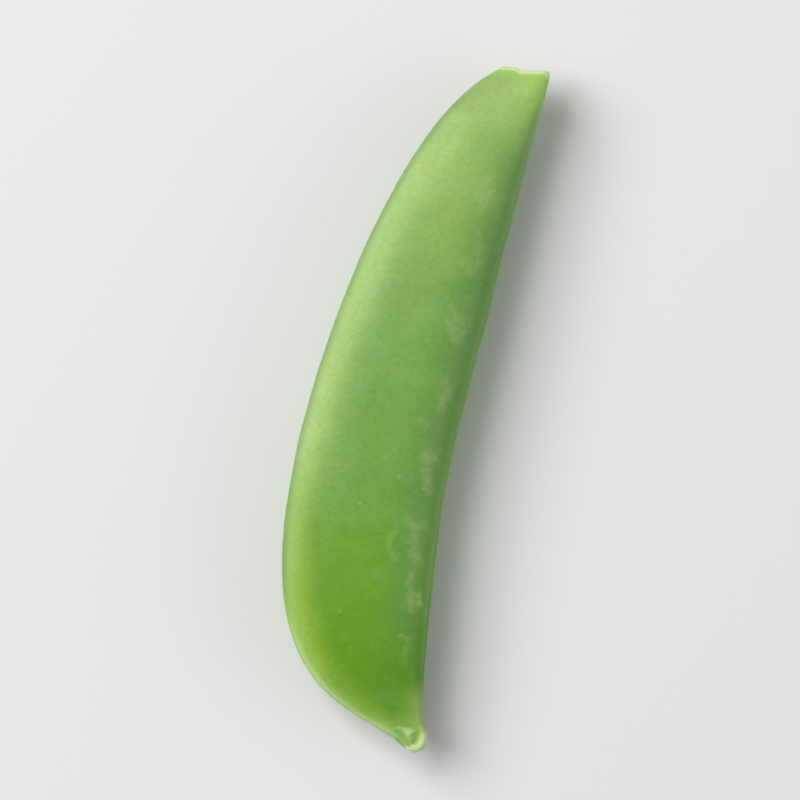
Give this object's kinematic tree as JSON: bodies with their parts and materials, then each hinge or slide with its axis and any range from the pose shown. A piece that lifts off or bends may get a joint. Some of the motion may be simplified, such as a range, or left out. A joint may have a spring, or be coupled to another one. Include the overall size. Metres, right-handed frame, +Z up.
{
  "type": "sugar snap pea pod",
  "caption": "Topped sugar snap pea pod: plump, curved and tapered, with a ridged seam, a hooked beak and a straight cut neck, lying on its side.",
  "frame": {"origin": "middle of the pod's box, at the height of the surface that it rests on", "axes": "+X towards the cut neck, -X towards the beak, +Y towards the bulging back edge, -Y towards the seam, +Z up through the pod's thickness"},
  "size_m": [0.0786, 0.0216, 0.0108],
  "materials": {
    "pod_skin": "fresh green pea pod skin with a faint waxy bloom, paler along both edges, satin sheen"
  },
  "bodies": {
    "root": {"pea_pod": "pod_skin"}
  },
  "joints": []
}
